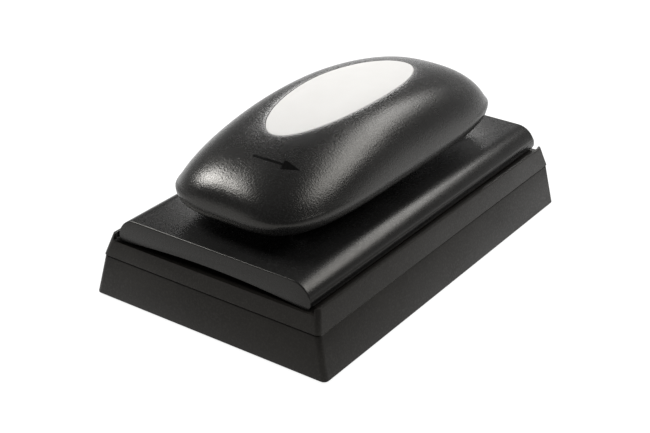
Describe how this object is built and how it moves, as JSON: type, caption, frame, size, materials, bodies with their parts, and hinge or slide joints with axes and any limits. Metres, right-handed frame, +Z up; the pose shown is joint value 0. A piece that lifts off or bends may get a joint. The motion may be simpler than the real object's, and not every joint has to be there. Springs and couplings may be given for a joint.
{
  "type": "chalkboard eraser",
  "caption": "Oblong board eraser with a hollow flared base, felt strips underneath, a latched lid and a domed handle that turns to open.",
  "frame": {"origin": "centre of the resting face, the plane that the felts wipe", "axes": "+X along the eraser, +Y across it, +Z up through the handle"},
  "size_m": [0.15, 0.0918, 0.0592],
  "materials": {
    "base_plastic": "fine-grained dark grey moulding",
    "lid_plastic": "smooth satin black",
    "handle_plastic": "finely textured satin black",
    "badge": "smooth warm white inlay",
    "carrier_plastic": "plain dark moulding",
    "foam": "soft foam",
    "acetal": "natural acetal",
    "bolt_plastic": "light grey acetal",
    "spring_steel": "spring steel",
    "steel": "turned steel",
    "screw_steel": "zinc-plated steel",
    "felt": "pressed wool felt"
  },
  "bodies": {
    "base": {"bolt_guide_left_inner": "bolt_plastic", "bolt_guide_left_outer": "bolt_plastic", "bolt_guide_right_inner": "bolt_plastic", "bolt_guide_right_outer": "bolt_plastic", "cover_gasket": "foam", "cover_plate": "lid_plastic", "felt_strip_1": "felt", "felt_strip_2": "felt", "felt_strip_3": "felt", "felt_strip_4": "felt", "felt_strip_5": "felt", "frame_screw_1": "screw_steel", "frame_screw_2": "screw_steel", "frame_screw_3": "screw_steel", "frame_screw_4": "screw_steel", "guide_screw_1": "screw_steel", "guide_screw_2": "screw_steel", "guide_screw_3": "screw_steel", "guide_screw_4": "screw_steel", "guide_screw_5": "screw_steel", "guide_screw_6": "screw_steel", "guide_screw_7": "screw_steel", "guide_screw_8": "screw_steel", "pad_carrier": "carrier_plastic", "rim_frame": "base_plastic", "skirt": "base_plastic", "spindle_bush": "acetal", "stop_pin": "steel", "thrust_washer": "acetal"},
    "handle": {"handle_shell": "handle_plastic", "handle_badge": "badge", "handle_base": "handle_plastic", "handle_screw_1": "screw_steel", "handle_screw_2": "screw_steel", "handle_screw_3": "screw_steel", "handle_screw_4": "screw_steel", "spindle": "steel", "spindle_screw": "screw_steel", "cam_washer": "steel", "cam_screw": "screw_steel", "cam_disc": "acetal", "wave_spring": "spring_steel"},
    "left_bolt": {"latch_bolt_left": "bolt_plastic", "latch_pin_left": "steel"},
    "right_bolt": {"latch_bolt_right": "bolt_plastic", "latch_pin_right": "steel"}
  },
  "joints": [
    {"name": "handle_turn", "type": "hinge", "parent": "base", "child": "handle", "pos_m": [0, 0, 0.03], "axis": [0, 0, 1], "range_deg": [0, 80]},
    {"name": "left_bolt_slide", "type": "slide", "parent": "base", "child": "left_bolt", "axis": [1, 0, 0], "range_m": [0, 0.0065]},
    {"name": "right_bolt_slide", "type": "slide", "parent": "base", "child": "right_bolt", "axis": [-1, 0, 0], "range_m": [0, 0.0065]}
  ],
  "couplings": [
    {"joint": "left_bolt_slide", "follows": "handle_turn", "m_per_rad": 0.0046553},
    {"joint": "right_bolt_slide", "follows": "handle_turn", "m_per_rad": 0.0046553}
  ]
}
